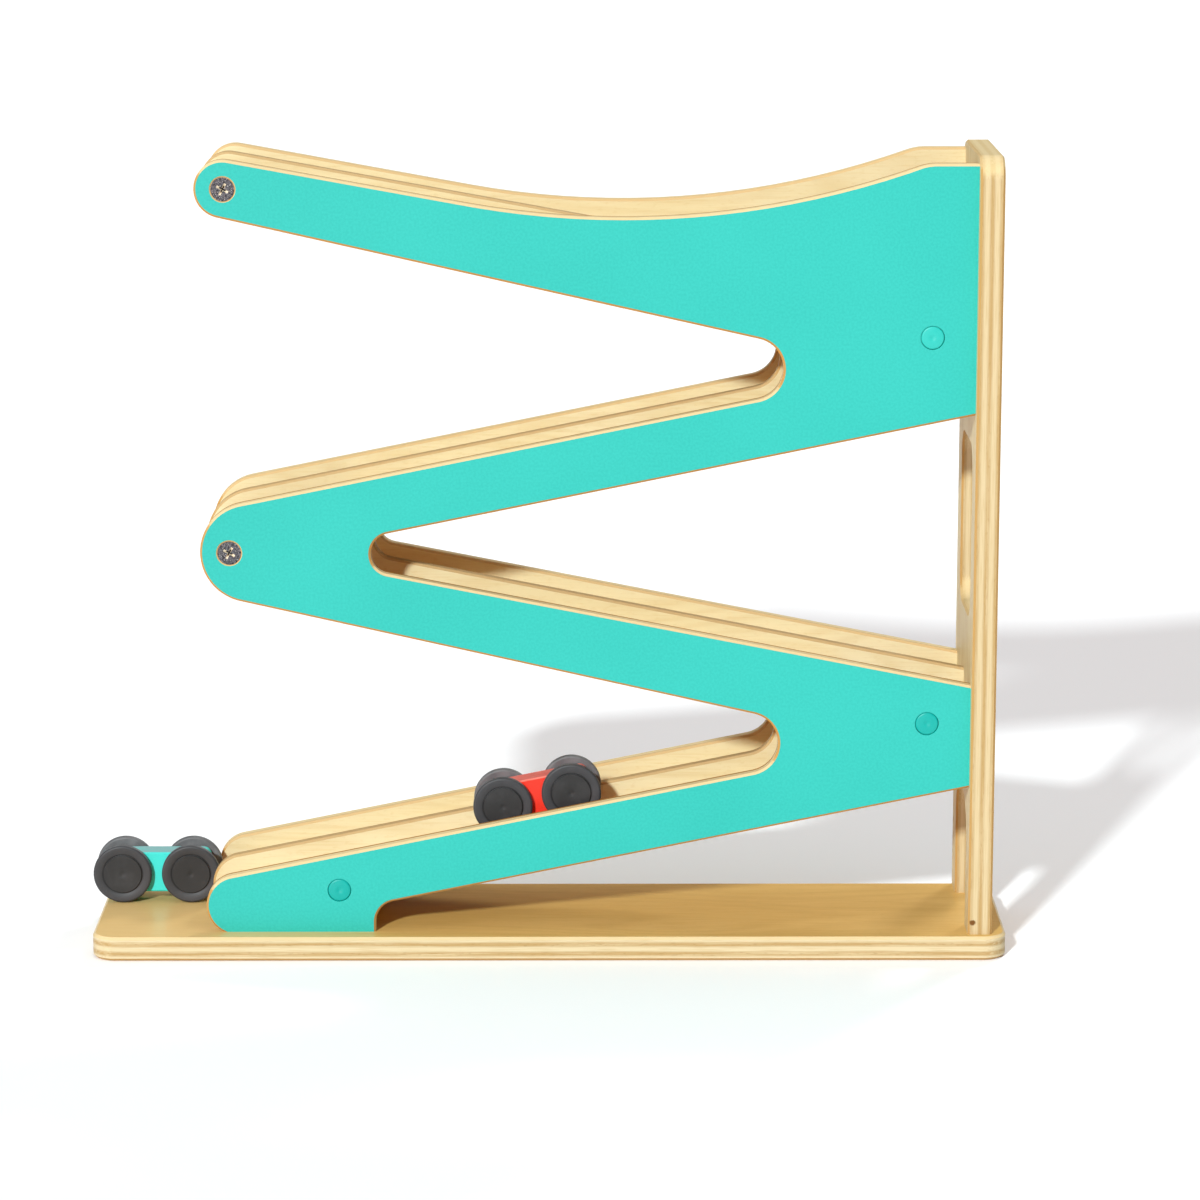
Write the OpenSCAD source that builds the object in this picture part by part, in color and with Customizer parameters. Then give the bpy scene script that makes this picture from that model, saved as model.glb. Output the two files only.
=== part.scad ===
// Click clack track: a wooden zigzag of four sloping runs with two lanes, and two small cars.
// Millimetres. The origin is at the centre of the base board's underside, +Z is up, +X points
// to the end board and -Y is the front.

/* [Base board] */
// Length of base board left of the panels, where the cars roll out
runout_l = 42.5; // [30:0.5:70]
// Length of base board behind the end board
end_margin = 5.5; // [2:0.5:15]
// Depth of base board in front of the front panel
front_margin = 8; // [5:0.5:20]
// Depth of base board behind the rear panel
rear_margin = 2; // [1.5:0.5:10]
// Thickness of the base board
base_t = 9; // [6:0.5:15]
// Corner radius of the base board, seen from above
base_corner_r = 9; // [4:0.5:14]
// Width of the eased edges of the base board
base_edge = 1; // [0.4:0.1:2]

/* [End board] */
// Thickness of the end board
end_t = 9; // [8:0.5:15]
// Height of the end board above the base board
end_h = 289; // [284:1:320]
// Radius of the end board's top corners
end_corner_r = 9; // [4:0.5:14]
// Distance of the end board from the front edge of the base board
end_front_inset = 3.5; // [1:0.5:6]
// Width of the end board's two legs, which also flank its window
jamb_w = 14.5; // [12:0.5:20]
// Height of the doorway between the legs
doorway_h = 47; // [20:1:70]
// Radius of the doorway's top corners
doorway_r = 14; // [4:0.5:18]
// Height of the window's sill above the base board
sill_h = 117; // [100:1:130]
// Height of the window
window_h = 64; // [30:1:85]
// Radius of the window's corners
window_r = 9; // [4:0.5:18]
// Width of the eased edges of the end board
end_edge = 0.8; // [0.3:0.1:1.5]

/* [Panels] */
// Length of the zigzag panels, from their left ends to the end board
panel_l = 283; // [270:1:310]
// Thickness of the front and rear panels
panel_t = 6; // [5.5:0.5:9]
// Thickness of the divider between the lanes
divider_t = 5; // [4.5:0.5:8]
// Clear width of each lane
lane_w = 24.5; // [22:0.5:32]
// Width of the eased edges of the panels
panel_edge = 0.8; // [0.3:0.1:1.2]

/* [Zigzag outline] */
// Slope of the first run, in degrees
run_1_slope = 10.3; // [9.5:0.1:11]
// Slope of the second run, in degrees
run_2_slope = 11.5; // [11:0.1:12]
// Slope of the third run, in degrees
run_3_slope = 11.1; // [10.5:0.1:11.6]
// Slope of the fourth run, in degrees
run_4_slope = 11.5; // [11:0.1:12]
// Slope of the undersides of the first and third runs, in degrees
under_slope = 12.7; // [12.2:0.1:13.2]
// Depth of the second and fourth runs, square to their slope
run_depth = 21.5; // [19:0.5:24]
// Radius of the panels' end where the first run starts
start_r = 10.5; // [9:0.5:12]
// Height of that end's centre above the base board
start_h = 277; // [270:1:280]
// Radius of the left turn
turn_r = 18.5; // [16:0.5:21]
// Height of the left turn's centre above the base board
turn_h = 143.7; // [140:0.1:148]
// Radius of the panels' end at the exit
exit_r = 11.5; // [10.5:0.5:13]
// Height of that end's centre above the base board
exit_h = 10.1; // [8:0.1:11]
// Radius at the end of the two gaps that open to the left
gap_r = 11.4; // [8:0.1:14]
// Radius at the end of the gap that opens to the right
inner_gap_r = 7.7; // [5:0.1:10]
// Distance of that gap's end from the left end of the panels
inner_gap_inset = 62.4; // [55:0.1:75]
// Height of the outer panels' flat shoulder above the base board
shoulder_h = 286; // [278:1:288]
// Length of the shoulder
shoulder_l = 15; // [10:1:25]
// Radius where the shoulder bends down into the dip
shoulder_r = 20; // [10:1:30]
// Radius of the dip between the first run and the shoulder
dip_r = 320; // [250:5:380]
// Length of the panels' foot on the base board
foot_l = 63; // [57:1:75]
// Radius between the foot and the fourth run
foot_r = 8; // [5:0.5:9]

/* [Lane floors] */
// Depth of the lane floors below the panels' top edges, square to the slope
lane_depth = 8.1; // [6:0.1:10]
// Thickness of the floor slats
slat_t = 6; // [5:0.5:8]
// Depth of the grooves in the panels that house the slats
groove_d = 1.5; // [1:0.1:2]
// Opening between the end board and the slats of the first and third runs, where a car drops
drop_gap = 48; // [46:1:55]
// Opening between the turn dowel and the slats of the second run, where a car drops
turn_gap = 36; // [34:1:45]
// Distance of the fourth run's slats from the left end of the panels
exit_inset = 11; // [10:0.5:20]

/* [Dowels and screws] */
// Radius of the two round dowels that stop the cars on the left
stop_r = 6; // [5:0.5:8]
// Distance of the turn dowel from the left end of the panels
turn_stop_inset = 10.7; // [9.5:0.1:12]
// Radius of the painted cross dowels that hold the screws in the panels' edges
cross_dowel_r = 4.3; // [3.5:0.1:5]
// Distance of the cross dowels from the edge that their screw goes through
cross_dowel_inset = 16; // [12:0.5:20]
// Height of the upper cross dowels above the base board
cross_dowel_high_h = 223; // [220:1:235]
// Height of the lower cross dowels above the base board
cross_dowel_low_h = 79.4; // [75:0.1:85]
// Distance of the foot's cross dowels from the left end of the panels
foot_dowel_inset = 49.5; // [45:0.5:53]
// Head radius of the panel screws
panel_screw_head_r = 4.3; // [3.5:0.1:5]
// Shank radius of the panel screws
panel_screw_r = 1.8; // [1.5:0.1:2.2]
// Length of the panel screws
panel_screw_l = 20; // [14:1:26]
// Head radius of the screws through the end board and the base board
board_screw_head_r = 2.8; // [2.4:0.1:3.2]
// Shank radius of the screws through the end board and the base board
board_screw_r = 1.4; // [1.2:0.1:1.6]
// Length of the screws through the end board and the base board
board_screw_l = 28; // [26:1:32]

/* [Cars] */
// Radius of the wheels
wheel_r = 11.1; // [10:0.1:11.5]
// Thickness of the wheels
wheel_t = 3; // [2.5:0.1:5]
// Distance between a car's two axles
wheelbase = 26; // [24:0.5:30]
// Length of the car body
car_l = 40; // [38:0.5:44]
// Width of the car body
car_w = 10; // [8:0.5:13]
// Height of the car body, shared equally above and below the axles
car_h = 15.4; // [12:0.2:16]
// Corner radius of the car body, seen from the side
car_corner_r = 3; // [1:0.5:5]
// Radius of the axles
axle_r = 1.5; // [1.2:0.1:2]
// Radius of the hub disc on a wheel's outer face
hub_r = 7.4; // [6:0.1:8]
// Distance of the red car's centre from the end board
red_car_dist = 160; // [150:1:170]
// Distance of the teal car's centre from the left end of the base board
teal_car_inset = 20.2; // [19:0.1:25]

/* [Hidden] */

// Clearances and small sizes
floor_gap = 0.3;        // between a wheel and what it rolls on
stop_gap = 0.3;         // between a slat and the dowel at its end
wheel_gap = 0.4;        // between a wheel and its car body
axle_play = 0.06;       // radial, between an axle and the car body
dowel_play = 0.1;       // radial, between a dowel or a shank and its bore
axle_seat = 0.03;       // radial, between an axle and the wheels on it
panel_sink = 0.5;       // countersink's sloping ring round a panel screw's head
board_sink = 0.3;       // countersink's sloping ring round the other screws' heads
head_h_share = 0.55;    // height of a screw head, as a share of its radius
head_rim_h = 0.4;       // straight rim of a screw head
recess_w = 1;           // width of the cross recess's arms
recess_l_share = 0.62;  // reach of the cross recess, as a share of the head radius
recess_d = 1.5;         // depth of the cross recess
recess_taper = 0.35;    // size of its bottom, as a share of its size at the head's face
recess_turn = 28;       // turn of the cross against the screw's own axes, in degrees
tip_h = 3;              // length of a screw's point
tip_r = 0.4;            // radius at the very end of a screw
tread_round = 0.9;      // rounding of the wheels' edges
wall_fall = 0.6;        // how far a wheel's crowned side falls from its rim to the hub disc
hub_chamfer = 0.25;     // at the edge of the hub disc
hub_dish = 0.2;         // how far the hub disc sinks towards its centre
dimple_r = 1.6;         // dimple at that centre
dimple_d = 0.25;
plug_round = 0.8;       // rounding of a cross dowel's visible end
plug_crown = 0.2;       // how far that end stands proud of the panel
plug_dimple_r = 1.6;    // dimple at its centre
plug_dimple_d = 0.35;
axle_cover = 0.9;       // wheel's outer wall, which closes the axle's seat
car_edge = 0.5;         // eased edges of the car bodies
over = 1;               // overrun of a cut
lip = 0.2;              // overrun of a cut along an eased edge
arc_step = 7;           // degrees between the points of a small arc
dip_step = 1.6;         // degrees between the points of the dip
bore_fn = 48;
wheel_fn = 96;

// Depths of the layers, front to back
stack_d = 2 * panel_t + divider_t + 2 * lane_w;
base_d = front_margin + stack_d + rear_margin;
front_y = -base_d / 2 + front_margin;
lane_1_y = front_y + panel_t;
divider_y = lane_1_y + lane_w;
lane_2_y = divider_y + divider_t;
rear_y = lane_2_y + lane_w;
end_front_y = -base_d / 2 + end_front_inset;
end_d = base_d - end_front_inset;

// Places along the track and heights
base_l = runout_l + panel_l + end_t + end_margin;
left_x = -base_l / 2 + runout_l;
right_x = left_x + panel_l;
top_z = base_t + shoulder_h;

// Centres of the round stretches of the zigzag
start_c = [left_x + start_r, base_t + start_h];
turn_c = [left_x + turn_r, base_t + turn_h];
exit_c = [left_x + exit_r, base_t + exit_h];
turn_stop_c = [left_x + turn_stop_inset, base_t + turn_h];

// A sloping edge is [height at x = 0, rise per length]. It touches a circle from above or below.
function edge_over(c, r, slope) = [c[1] + r / cos(slope) - tan(slope) * c[0], tan(slope)];
function edge_under(c, r, slope) = [c[1] - r / cos(slope) - tan(slope) * c[0], tan(slope)];
function lower(edge, depth) = [edge[0] - depth * norm([1, edge[1]]), edge[1]];
function at(edge, x) = edge[0] + edge[1] * x;
function meet_x(a, b) = (b[0] - a[0]) / (a[1] - b[1]);

run_1_top = edge_over(start_c, start_r, -run_1_slope);
run_1_under = edge_under(start_c, start_r, -under_slope);
run_2_top = edge_over(turn_c, turn_r, run_2_slope);
run_2_under = lower(run_2_top, run_depth);
inner_gap_x = left_x + inner_gap_inset + inner_gap_r;
inner_gap_c = [inner_gap_x, at(lower(run_2_under, inner_gap_r), inner_gap_x)];
run_3_top = edge_under(inner_gap_c, inner_gap_r, -run_3_slope);
run_3_under = edge_under(turn_c, turn_r, -under_slope);
run_4_top = edge_over(exit_c, exit_r, run_4_slope);
run_4_under = lower(run_4_top, run_depth);

// Centre of a circle of radius r between an edge above it and an edge below it
function between(above, below, r) =
    let (a = lower(above, r), b = lower(below, -r), x = meet_x(a, b)) [x, at(a, x)];
upper_gap_c = between(run_1_under, run_2_top, gap_r);
lower_gap_c = between(run_3_under, run_4_top, gap_r);
foot_x = left_x + foot_l;
foot_c = [foot_x + foot_r, at(lower(run_4_under, foot_r), foot_x + foot_r)];

// Centre of a circle of radius r on the upper side of an edge that it touches, and left of a
// circle round c that it touches too. reach is the sum of the two radii.
function over_and_left(edge, r, c, reach) =
    let (
        path = lower(edge, -r),
        drop = at(path, c[0]) - c[1],
        k = 1 + path[1] * path[1],
        x = c[0] - (path[1] * drop + sqrt(k * reach * reach - drop * drop)) / k
    )
    [x, at(path, x)];

// The outer panels dip along the first run and rise again to a flat shoulder
shoulder_c = [right_x - shoulder_l, top_z - shoulder_r];
dip_c = over_and_left(run_1_top, dip_r, shoulder_c, dip_r + shoulder_r);
rise_slope = 90 - atan2(dip_c[1] - shoulder_c[1], shoulder_c[0] - dip_c[0]);

// Every outline comes in two forms. With past = 0 it is the board's own outline, whose arcs have
// their points on the circle. With past > 0 it is the guide of the eased edges: its arcs are made
// of tangents, and it runs past the edges that aren't eased.
function arc(c, r, from, to, past, step = arc_step) =
    let (n = ceil(abs(to - from) / step), half = (to - from) / n / 2)
    past > 0
        ? [for (i = [0:n - 1]) let (a = from + (2 * i + 1) * half)
            c + r / cos(half) * [cos(a), sin(a)]]
        : [for (i = [0:n]) let (a = from + 2 * i * half) c + r * [cos(a), sin(a)]];

function dipped_top(past) = concat(
    [[right_x + past, top_z]],
    arc(shoulder_c, shoulder_r, 90, 90 + rise_slope, past),
    arc(dip_c, dip_r, rise_slope - 90, -run_1_slope - 90, past, dip_step)
);
function straight_top(past) = [[right_x + past, at(run_1_top, right_x + past)]];

// Outline of a panel, anticlockwise from the upper left end. The ends against the end board and
// the base board aren't eased.
exit_end = 180 + asin(exit_h / exit_r);
exit_end_x = exit_c[0] + exit_r * cos(exit_end);
function zigzag(top, past) =
    let (end_x = right_x + past)
    concat(
        arc(start_c, start_r, 90 - run_1_slope, 270 - under_slope, past),
        arc(upper_gap_c, gap_r, 90 - under_slope, run_2_slope - 90, past),
        arc(turn_c, turn_r, 90 + run_2_slope, 270 - under_slope, past),
        arc(lower_gap_c, gap_r, 90 - under_slope, run_4_slope - 90, past),
        arc(exit_c, exit_r, 90 + run_4_slope, exit_end, past),
        past > 0 ? [[exit_end_x + past * tan(exit_end), base_t - past]] : [],
        [[foot_x, base_t - past]],
        arc(foot_c, foot_r, 180, 90 + run_4_slope, past),
        [[end_x, at(run_4_under, end_x)], [end_x, at(run_3_top, end_x)]],
        arc(inner_gap_c, inner_gap_r, 270 - run_3_slope, 90 + run_2_slope, past),
        [[end_x, at(run_2_under, end_x)]],
        top
    );

// Rectangle from corner a to corner b with rounded corners
function round_box(a, b, r, past) = concat(
    arc(a + [r, r], r, 180, 270, past),
    arc([b[0] - r, a[1] + r], r, 270, 360, past),
    arc(b - [r, r], r, 0, 90, past),
    arc([a[0] + r, b[1] - r], r, 90, 180, past)
);

function unit(v) = v / norm(v);

// Outline moved inwards by d, or outwards where d is negative
function inset(pts, d) =
    let (n = len(pts))
    [for (i = [0:n - 1])
        let (
            p = pts[i],
            u = unit(p - pts[(i + n - 1) % n]),
            v = unit(pts[(i + 1) % n] - p),
            m = [-u[1] - v[1], u[0] + v[0]]
        )
        p + m * d / (1 + u * v)];

// Closed band round an outline. Its section is a list of points [distance inwards, height].
module band(pts, section) {
    n = len(pts);
    m = len(section);
    points = [for (s = section) for (p = inset(pts, s[0])) [p[0], p[1], s[1]]];
    faces = [for (k = [0:m - 1]) for (i = [0:n - 1])
        [k * n + i, (k + 1) % m * n + i, (k + 1) % m * n + (i + 1) % n, k * n + (i + 1) % n]];
    polyhedron(points, faces);
}

// Board of thickness t whose edges are eased on both faces along a guide
module board(outline, guide, t, edge) {
    section = [[-lip, -lip], [-lip, edge + lip], [edge + lip, -lip]];
    difference() {
        linear_extrude(t) polygon(outline);
        band(guide, section);
        translate([0, 0, t]) mirror([0, 0, 1]) band(guide, section);
    }
}

// Cut through such a board, whose own edges are eased too
module board_cut(outline, guide, t, edge) {
    section = [[lip, -lip], [-edge - lip, -lip], [lip, edge + lip]];
    translate([0, 0, -over]) linear_extrude(t + 2 * over) polygon(outline);
    band(guide, section);
    translate([0, 0, t]) mirror([0, 0, 1]) band(guide, section);
}

// Turns a flat outline of x and z into a layer that starts at depth y
module upright_layer(y, t) translate([0, y + t, 0]) rotate([90, 0, 0]) children();

// Turns a flat outline of y and z into a layer of the end board
module end_layer() translate([right_x, 0, 0]) rotate([90, 0, 90]) children();

// Slats: each is a list of its top edge, its two ends and whether each end is rounded
slat_1_ends = [start_c[0] + stop_r + stop_gap, right_x - drop_gap];
slat_2_ends = [turn_stop_c[0] + stop_r + turn_gap, right_x];
slat_3_ends = [turn_stop_c[0] + stop_r + stop_gap, right_x - drop_gap];
slat_4_ends = [left_x + exit_inset, right_x];
slats = [
    [run_1_top, slat_1_ends, false, true],
    [run_2_top, slat_2_ends, true, false],
    [run_3_top, slat_3_ends, false, true],
    [run_4_top, slat_4_ends, true, false]
];

// A slat's end is plumb, or rounded over where a car leaves it
function plumb_end(edge, x) =
    [[x, at(lower(edge, lane_depth + slat_t), x)], [x, at(lower(edge, lane_depth), x)]];
function round_end(edge, x, side) =
    let (r = slat_t / 2, a = atan(edge[1]) - 90, mid_x = x - side * r)
    arc([mid_x, at(lower(edge, lane_depth + r), mid_x)], r, a, a + side * 180, 0);
function reversed(pts) = [for (i = [len(pts) - 1:-1:0]) pts[i]];
function slat_outline(s, past = 0) = concat(
    s[3] ? round_end(s[0], s[1][1], 1) : plumb_end(s[0], s[1][1] + past),
    reversed(s[2] ? round_end(s[0], s[1][0], -1) : plumb_end(s[0], s[1][0]))
);

module slat(i, y)
    color("burlywood")
        upright_layer(y - groove_d, lane_w + 2 * groove_d)
            linear_extrude(lane_w + 2 * groove_d)
                polygon(slat_outline(slats[i]));

// The grooves for every slat that ends in the face of a panel at depth y. They run out of the
// panel's end at the end board.
module grooves(y)
    for (s = slats)
        upright_layer(y - groove_d, 2 * groove_d)
            linear_extrude(2 * groove_d)
                polygon(slat_outline(s, over));

// Cross dowels: two by the end board and one in the foot
cross_dowel_l = panel_t - groove_d;
end_dowels = [for (h = [cross_dowel_high_h, cross_dowel_low_h])
    [right_x - cross_dowel_inset, base_t + h]];
foot_dowel = [left_x + foot_dowel_inset, base_t + cross_dowel_inset];
front_screw_y = front_y + cross_dowel_l / 2;
rear_screw_y = rear_y + panel_t - cross_dowel_l / 2;
stops = [start_c, turn_stop_c];
leg_ys = [end_front_y + jamb_w / 2, end_front_y + end_d - jamb_w / 2];
leg_x = right_x + end_t / 2;

// Round bar along Y from depth y
module bar_y(c, y, l, r)
    translate([c[0], y, c[1]]) rotate([-90, 0, 0]) cylinder(h = l, r = r, $fn = bore_fn);

// Countersunk screw that points along +Z, with its head's face at zero
module screw(head_r, r, l) {
    head_h = head_r * head_h_share;
    difference() {
        rotate_extrude($fn = bore_fn)
            polygon([[0, 0], [head_r, 0], [head_r, head_rim_h], [r, head_h], [r, l - tip_h],
                [tip_r, l], [0, l]]);
        translate([0, 0, -lip]) linear_extrude(recess_d + lip, scale = recess_taper)
            for (a = [0, 90]) rotate(a + recess_turn)
                square([2 * recess_l_share * head_r, recess_w], center = true);
    }
}

// Hole for such a screw: a sloping ring round the head, a countersink and a bore
module screw_hole(head_r, r, l, ring) {
    head_h = head_r * head_h_share;
    rotate_extrude($fn = bore_fn)
        polygon([[0, -over], [head_r + ring, -over], [head_r + ring, 0],
            [head_r + dowel_play, ring], [head_r + dowel_play, head_rim_h + dowel_play],
            [r + dowel_play, head_h + dowel_play], [r + dowel_play, l + dowel_play],
            [0, l + dowel_play]]);
}

// Poses of the screws: each module places its children at every screw of its kind
module at_front_screws()
    for (c = stops) translate([c[0], front_y, c[1]]) rotate([-90, 0, 0]) children();
module at_rear_screws()
    for (c = stops) translate([c[0], rear_y + panel_t, c[1]]) rotate([90, 0, 0]) children();
module at_end_screws(y)
    for (c = end_dowels) translate([right_x + end_t, y, c[1]]) rotate([0, -90, 0]) children();
module at_foot_screw(y) translate([foot_dowel[0], y, 0]) children();
module at_leg_screws() for (y = leg_ys) translate([leg_x, y, 0]) children();

module panel_screw_hole()
    screw_hole(panel_screw_head_r, panel_screw_r, panel_screw_l, panel_sink);
module board_screw_hole()
    screw_hole(board_screw_head_r, board_screw_r, board_screw_l, board_sink);

function base_outline(past) =
    round_box([-base_l, -base_d] / 2, [base_l, base_d] / 2, base_corner_r, past);
module base_board()
    color("burlywood") difference() {
        board(base_outline(0), base_outline(lip), base_t, base_edge);
        at_foot_screw(front_screw_y) board_screw_hole();
        at_foot_screw(rear_screw_y) board_screw_hole();
        at_leg_screws() board_screw_hole();
    }

// The end board stands on two legs with a doorway between them
end_low = [end_front_y, base_t];
end_high = [end_front_y + end_d, base_t + end_h];
door_x = [end_low[0] + jamb_w, end_high[0] - jamb_w];
door_top = base_t + doorway_h;
end_corner_z = end_high[1] - end_corner_r;
function end_outline(past) = concat(
    [[end_low[0], base_t - past], [door_x[0], base_t - past]],
    arc([door_x[0] + doorway_r, door_top - doorway_r], doorway_r, 180, 90, past),
    arc([door_x[1] - doorway_r, door_top - doorway_r], doorway_r, 90, 0, past),
    [[door_x[1], base_t - past], [end_high[0], base_t - past]],
    arc([end_high[0] - end_corner_r, end_corner_z], end_corner_r, 0, 90, past),
    arc([end_low[0] + end_corner_r, end_corner_z], end_corner_r, 90, 180, past)
);
function window(past) =
    let (sill_z = base_t + sill_h)
    round_box([door_x[0], sill_z], [door_x[1], sill_z + window_h], window_r, past);

module end_board()
    color("burlywood") difference() {
        end_layer() difference() {
            board(end_outline(0), end_outline(end_edge + lip), end_t, end_edge);
            board_cut(window(0), window(lip), end_t, end_edge);
        }
        at_end_screws(front_screw_y) board_screw_hole();
        at_end_screws(rear_screw_y) board_screw_hole();
        at_leg_screws() board_screw_hole();
    }

// A panel's board, where top is one of the two functions for the top edge
panel_past = panel_edge + lip;
module panel(y, t, top)
    upright_layer(y, t)
        board(zigzag(top(0), 0), zigzag(top(panel_past), panel_past), t, panel_edge);

module front_panel()
    color("turquoise") difference() {
        panel(front_y, panel_t, function (past) dipped_top(past));
        grooves(lane_1_y);
        at_front_screws() panel_screw_hole();
        at_end_screws(front_screw_y) board_screw_hole();
        at_foot_screw(front_screw_y) board_screw_hole();
        for (c = concat(end_dowels, [foot_dowel]))
            bar_y(c, front_y - over, cross_dowel_l + over, cross_dowel_r + dowel_play);
    }

module divider()
    color("wheat") difference() {
        panel(divider_y, divider_t, function (past) straight_top(past));
        grooves(divider_y);
        grooves(lane_2_y);
        for (c = stops) bar_y(c, divider_y - over, divider_t + 2 * over, stop_r + dowel_play);
    }

module rear_panel()
    color("turquoise") difference() {
        panel(rear_y, panel_t, function (past) dipped_top(past));
        grooves(rear_y);
        at_rear_screws() panel_screw_hole();
        at_end_screws(rear_screw_y) board_screw_hole();
        at_foot_screw(rear_screw_y) board_screw_hole();
        for (c = concat(end_dowels, [foot_dowel]))
            bar_y(c, rear_y + groove_d, cross_dowel_l + over, cross_dowel_r + dowel_play);
    }

// A stop dowel reaches from panel to panel through the divider, with a screw in each end
module stop_dowel(c)
    color("burlywood") difference() {
        bar_y(c, lane_1_y, stack_d - 2 * panel_t, stop_r);
        at_front_screws() panel_screw_hole();
        at_rear_screws() panel_screw_hole();
    }

module start_dowel() stop_dowel(start_c);
module turn_dowel() stop_dowel(turn_stop_c);

// Half outline of a cross dowel, from its visible end at zero
plug_profile = concat(
    [[0, plug_dimple_d - plug_crown], [plug_dimple_r, -plug_crown]],
    arc([cross_dowel_r - plug_round, plug_round], plug_round, -90, 0, 0),
    [[cross_dowel_r, cross_dowel_l], [0, cross_dowel_l]]
);

// The three cross dowels of a panel whose painted face is at depth y
module cross_dowels(y, inward, screw_y)
    color("mediumturquoise") difference() {
        for (c = concat(end_dowels, [foot_dowel]))
            translate([c[0], y, c[1]]) rotate([-inward * 90, 0, 0])
                rotate_extrude($fn = bore_fn) polygon(plug_profile);
        at_end_screws(screw_y) board_screw_hole();
        at_foot_screw(screw_y) board_screw_hole();
    }

module front_cross_dowels() cross_dowels(front_y, 1, front_screw_y);
module rear_cross_dowels() cross_dowels(rear_y + panel_t, -1, rear_screw_y);

module panel_screw() color("silver") screw(panel_screw_head_r, panel_screw_r, panel_screw_l);
module board_screw() color("silver") screw(board_screw_head_r, board_screw_r, board_screw_l);

module front_panel_screws() at_front_screws() panel_screw();
module rear_panel_screws() at_rear_screws() panel_screw();

module end_board_screws() {
    at_end_screws(front_screw_y) board_screw();
    at_end_screws(rear_screw_y) board_screw();
}

module base_screws() {
    at_foot_screw(front_screw_y) board_screw();
    at_foot_screw(rear_screw_y) board_screw();
    at_leg_screws() board_screw();
}

// Cars: the red one on the fourth run of the front lane, the teal one on the base board
ride_h = wheel_r + floor_gap;
red_x = right_x - red_car_dist;
red_floor = lower(run_4_top, lane_depth - ride_h);
red_pose = [[red_x, lane_1_y + lane_w / 2, at(red_floor, red_x)], run_4_slope];
teal_x = -base_l / 2 + teal_car_inset;
teal_pose = [[teal_x, lane_2_y + lane_w / 2, base_t + ride_h], 0];

module in_car(pose) translate(pose[0]) rotate([0, -pose[1], 0]) children();

// Front and rear axles are at side -1 and 1
function car_outline(past) =
    round_box([-car_l, -car_h] / 2, [car_l, car_h] / 2, car_corner_r, past);
module car_body(pose)
    in_car(pose) difference() {
        upright_layer(-car_w / 2, car_w)
            board(car_outline(0), car_outline(lip), car_w, car_edge);
        for (side = [-1, 1])
            bar_y([side * wheelbase / 2, 0], -car_w / 2 - over, car_w + 2 * over, axle_r + axle_play);
    }

axle_l = car_w + 2 * wheel_gap + 2 * (wheel_t - axle_cover);
module axle(pose, side)
    color("silver") in_car(pose) bar_y([side * wheelbase / 2, 0], -axle_l / 2, axle_l, axle_r);

// Half outline of a wheel, from its inner face at zero to its outer face. The side is an arc that
// leaves the rim level and falls towards the hub disc.
rim_r = wheel_r - tread_round;
wall_w = rim_r - hub_r;
wall_r = (wall_w * wall_w + wall_fall * wall_fall) / (2 * wall_fall);
wheel_profile = concat(
    [[0, wheel_t - axle_cover], [axle_r + axle_seat, wheel_t - axle_cover], [axle_r + axle_seat, 0]],
    arc([rim_r, tread_round], tread_round, -90, 0, 0),
    arc([rim_r, wheel_t - tread_round], tread_round, 0, 90, 0),
    arc([rim_r, wheel_t - wall_r], wall_r, 90, 90 + asin(wall_w / wall_r), 0),
    [[hub_r, wheel_t - hub_chamfer], [hub_r - hub_chamfer, wheel_t],
        [dimple_r, wheel_t - hub_dish], [0, wheel_t - hub_dish - dimple_d]]
);

// The near wheel faces the front of the track and the far wheel its back
module wheel(pose, side, facing)
    color("dimgray") in_car(pose)
        translate([side * wheelbase / 2, facing * (car_w / 2 + wheel_gap), 0])
            rotate([-facing * 90, 0, 0])
                rotate_extrude($fn = wheel_fn) polygon(wheel_profile);

module red_car_body() color("tomato") car_body(red_pose);
module red_front_axle() axle(red_pose, -1);
module red_rear_axle() axle(red_pose, 1);
module red_front_wheel_near() wheel(red_pose, -1, -1);
module red_front_wheel_far() wheel(red_pose, -1, 1);
module red_rear_wheel_near() wheel(red_pose, 1, -1);
module red_rear_wheel_far() wheel(red_pose, 1, 1);
module teal_car_body() color("turquoise") car_body(teal_pose);
module teal_front_axle() axle(teal_pose, -1);
module teal_rear_axle() axle(teal_pose, 1);
module teal_front_wheel_near() wheel(teal_pose, -1, -1);
module teal_front_wheel_far() wheel(teal_pose, -1, 1);
module teal_rear_wheel_near() wheel(teal_pose, 1, -1);
module teal_rear_wheel_far() wheel(teal_pose, 1, 1);

base_board();
end_board();
front_panel();
divider();
rear_panel();
slat(0, lane_1_y);  // run_1_front_slat
slat(0, lane_2_y);  // run_1_rear_slat
slat(1, lane_1_y);  // run_2_front_slat
slat(1, lane_2_y);  // run_2_rear_slat
slat(2, lane_1_y);  // run_3_front_slat
slat(2, lane_2_y);  // run_3_rear_slat
slat(3, lane_1_y);  // run_4_front_slat
slat(3, lane_2_y);  // run_4_rear_slat
start_dowel();
turn_dowel();
front_cross_dowels();
rear_cross_dowels();
front_panel_screws();
rear_panel_screws();
end_board_screws();
base_screws();
red_car_body();
red_front_axle();
red_rear_axle();
red_front_wheel_near();
red_front_wheel_far();
red_rear_wheel_near();
red_rear_wheel_far();
teal_car_body();
teal_front_axle();
teal_rear_axle();
teal_front_wheel_near();
teal_front_wheel_far();
teal_rear_wheel_near();
teal_rear_wheel_far();
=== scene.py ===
"""Looks of the click clack track: painted plywood panels, bare birch boards, satin wheels and zinc
screws, on a pale floor in soft studio light. Sizes are in metres, in the CAD frame."""

import math

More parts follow.
